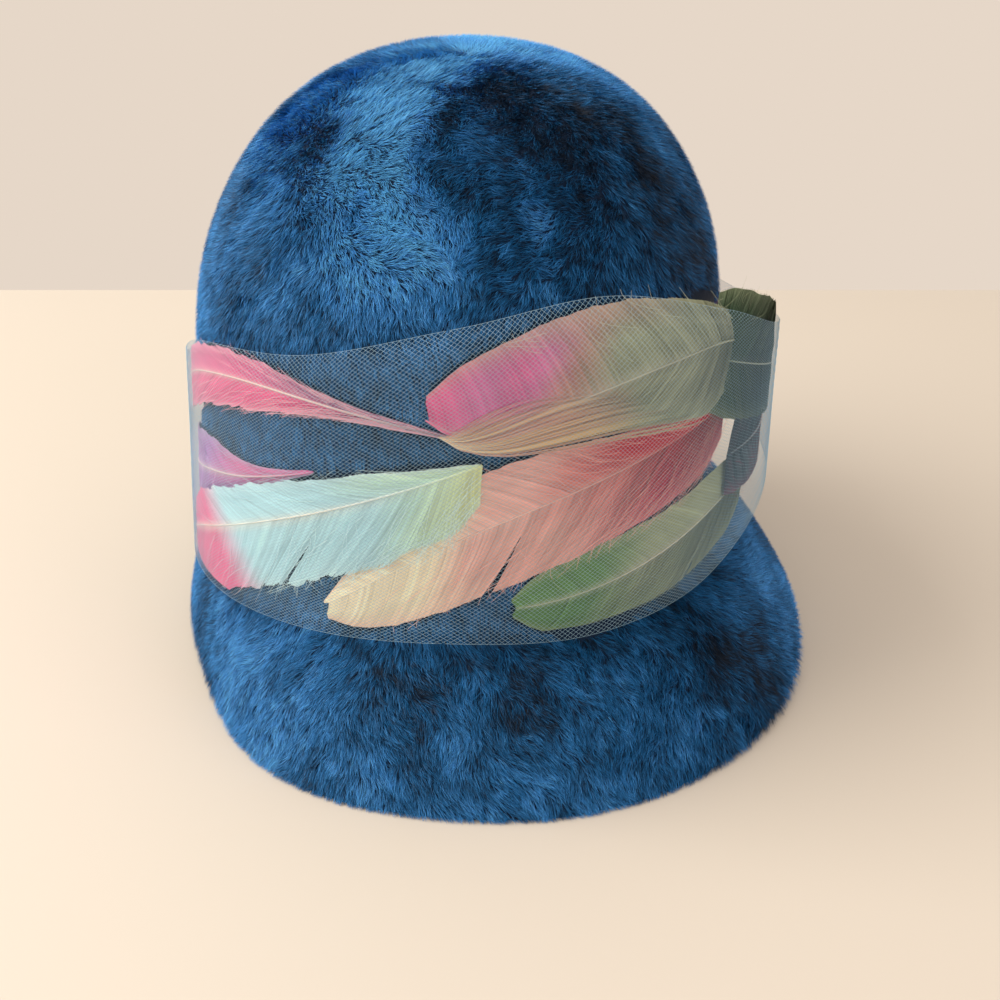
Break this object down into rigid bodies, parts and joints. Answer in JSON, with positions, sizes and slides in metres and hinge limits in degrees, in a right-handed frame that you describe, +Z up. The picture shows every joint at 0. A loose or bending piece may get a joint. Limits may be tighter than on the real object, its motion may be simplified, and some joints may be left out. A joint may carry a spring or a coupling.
{
  "type": "cloche hat",
  "caption": "Tall round felt cloche hat with a drooping flared brim and a band of dyed feathers held round the crown by a net.",
  "frame": {"origin": "middle of the hat's footprint, on the surface that the brim rests on", "axes": "+Z up through the crown, -Y towards the front of the hat, +X towards the viewer's right"},
  "size_m": [0.2264, 0.2564, 0.205],
  "materials": {
    "fur_felt": "long brushed nap",
    "feather_rose": "silky",
    "feather_lilac": "silky",
    "feather_aqua": "silky",
    "feather_sage": "silky",
    "feather_coral": "silky",
    "feather_green": "silky",
    "feather_pine": "silky",
    "feather_plum": "silky",
    "net_thread": "fine open mesh"
  },
  "bodies": {
    "root": {"felt_hood": "fur_felt", "feather_pink": "feather_rose", "feather_orchid": "feather_lilac", "feather_mint": "feather_aqua", "feather_sage": "feather_sage", "feather_coral": "feather_coral", "feather_green": "feather_green", "feather_pine": "feather_pine", "feather_plum": "feather_plum", "feather_back_rose": "feather_rose", "feather_back_lilac": "feather_lilac", "feather_back_aqua": "feather_aqua", "feather_back_sage": "feather_sage", "feather_back_coral": "feather_coral", "feather_back_green": "feather_green", "net_veil": "net_thread"}
  },
  "joints": []
}
